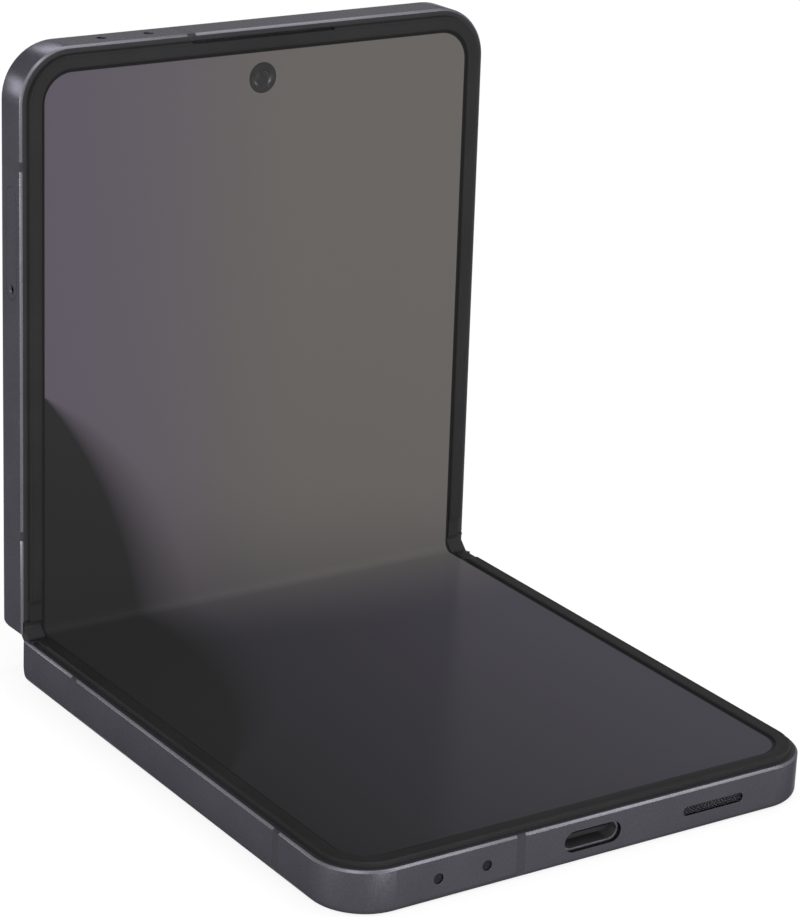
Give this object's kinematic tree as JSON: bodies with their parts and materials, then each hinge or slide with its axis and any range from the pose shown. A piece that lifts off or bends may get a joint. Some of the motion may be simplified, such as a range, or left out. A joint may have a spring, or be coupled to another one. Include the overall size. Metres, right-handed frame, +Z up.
{
  "type": "foldable smartphone",
  "caption": "Pocket phone that folds in half on a two-axis hinge, standing half open, with a bending display inside and a cover display outside.",
  "frame": {"origin": "middle of the lower half's flat underside, on the table", "axes": "+Z up; +X across the phone, along the fold axes; the lower half's free end with the charging socket faces -Y and the upper half stands up at +Y"},
  "size_m": [0.0755, 0.0923, 0.0901],
  "materials": {
    "frame_aluminium": "dark satin anodised",
    "spine_aluminium": "dark satin anodised",
    "band_plastic": "satin, a shade darker than the frame",
    "bezel_soft": "soft matt",
    "cap_plastic": "soft matt",
    "folding_screen": "satin film over a lit display",
    "steel_sheet": "plain",
    "back_glass": "opaque tinted glass, satin",
    "cover_screen": "unlit display",
    "battery_foil": "foil pouch",
    "coil_copper": "enamelled winding",
    "board_laminate": "solder mask",
    "plated_steel": "plated",
    "magnet_nickel": "nickel plated",
    "hinge_steel": "machined",
    "screw_steel": "blackened",
    "module_plastic": "moulded",
    "mesh_steel": "woven, dark",
    "flex_film": "flexible film",
    "lens_glass": "coated, opaque from outside",
    "flash_diffuser": "frosted"
  },
  "bodies": {
    "lower_half": {"lower_frame": "frame_aluminium", "lower_bands": "band_plastic", "lower_bezel": "bezel_soft", "lower_display": "folding_screen", "lower_plate": "steel_sheet", "lower_back_glass": "back_glass", "lower_battery": "battery_foil", "charging_coil": "coil_copper", "lower_board": "board_laminate", "socket_shell": "plated_steel", "socket_tongue": "module_plastic", "loudspeaker": "module_plastic", "speaker_mesh": "mesh_steel", "haptic_motor": "plated_steel", "lower_microphones": "plated_steel", "lower_magnets": "magnet_nickel", "lower_rail_left": "hinge_steel", "lower_rail_right": "hinge_steel", "lower_screws": "screw_steel"},
    "hinge_spine": {"spine_shell": "spine_aluminium", "hinge_base_left": "hinge_steel", "hinge_base_right": "hinge_steel", "friction_unit_left": "hinge_steel", "friction_unit_right": "hinge_steel", "spine_cap_left": "cap_plastic", "spine_cap_right": "cap_plastic", "hinge_flex": "flex_film", "display_fold": "folding_screen"},
    "upper_half": {"upper_frame": "frame_aluminium", "upper_bands": "band_plastic", "upper_bezel": "bezel_soft", "upper_display": "folding_screen", "upper_plate": "steel_sheet", "cover_glass": "back_glass", "cover_display": "cover_screen", "upper_battery": "battery_foil", "main_board": "board_laminate", "shield_can": "plated_steel", "front_camera": "module_plastic", "front_camera_window": "lens_glass", "receiver": "module_plastic", "earpiece_mesh": "mesh_steel", "upper_microphone": "plated_steel", "camera_outer": "module_plastic", "camera_inner": "module_plastic", "camera_ring_outer": "frame_aluminium", "camera_ring_inner": "frame_aluminium", "camera_windows": "lens_glass", "flash_lens": "flash_diffuser", "card_reader": "plated_steel", "key_switches": "plated_steel", "upper_magnets": "magnet_nickel", "upper_rail_left": "hinge_steel", "upper_rail_right": "hinge_steel", "upper_screws": "screw_steel"},
    "tray": {"card_tray": "frame_aluminium"},
    "power_button": {"power_key": "frame_aluminium"},
    "volume_rocker": {"volume_key": "frame_aluminium"}
  },
  "joints": [
    {"name": "fold_lower", "type": "hinge", "parent": "lower_half", "child": "hinge_spine", "pos_m": [0, 0.04127, 0.00652], "axis": [1, 0, 0], "range_deg": [-44.5, 45.5], "deforming": ["display_fold", "hinge_flex"]},
    {"name": "fold_upper", "type": "hinge", "parent": "hinge_spine", "child": "upper_half", "pos_m": [0, 0.04188, 0.00712], "axis": [1, 0, 0], "range_deg": [-44.5, 45.5], "deforming": ["display_fold", "hinge_flex"]},
    {"name": "tray_slide", "type": "slide", "parent": "upper_half", "child": "tray", "axis": [-1, 0, 0], "range_m": [0, 0.0155]},
    {"name": "power_press", "type": "slide", "parent": "upper_half", "child": "power_button", "axis": [-1, 0, 0], "range_m": [0, 0.00025], "stiffness_N_per_m": 4000},
    {"name": "volume_rock", "type": "hinge", "parent": "upper_half", "child": "volume_rocker", "pos_m": [0.0355, 0.04613, 0.05963], "axis": [0, 0.9998, -0.0175], "range_deg": [-1.1, 1.1], "stiffness_Nm_per_rad": 0.4}
  ],
  "couplings": [
    {"joint": "fold_upper", "follows": "fold_lower", "ratio": 1}
  ]
}
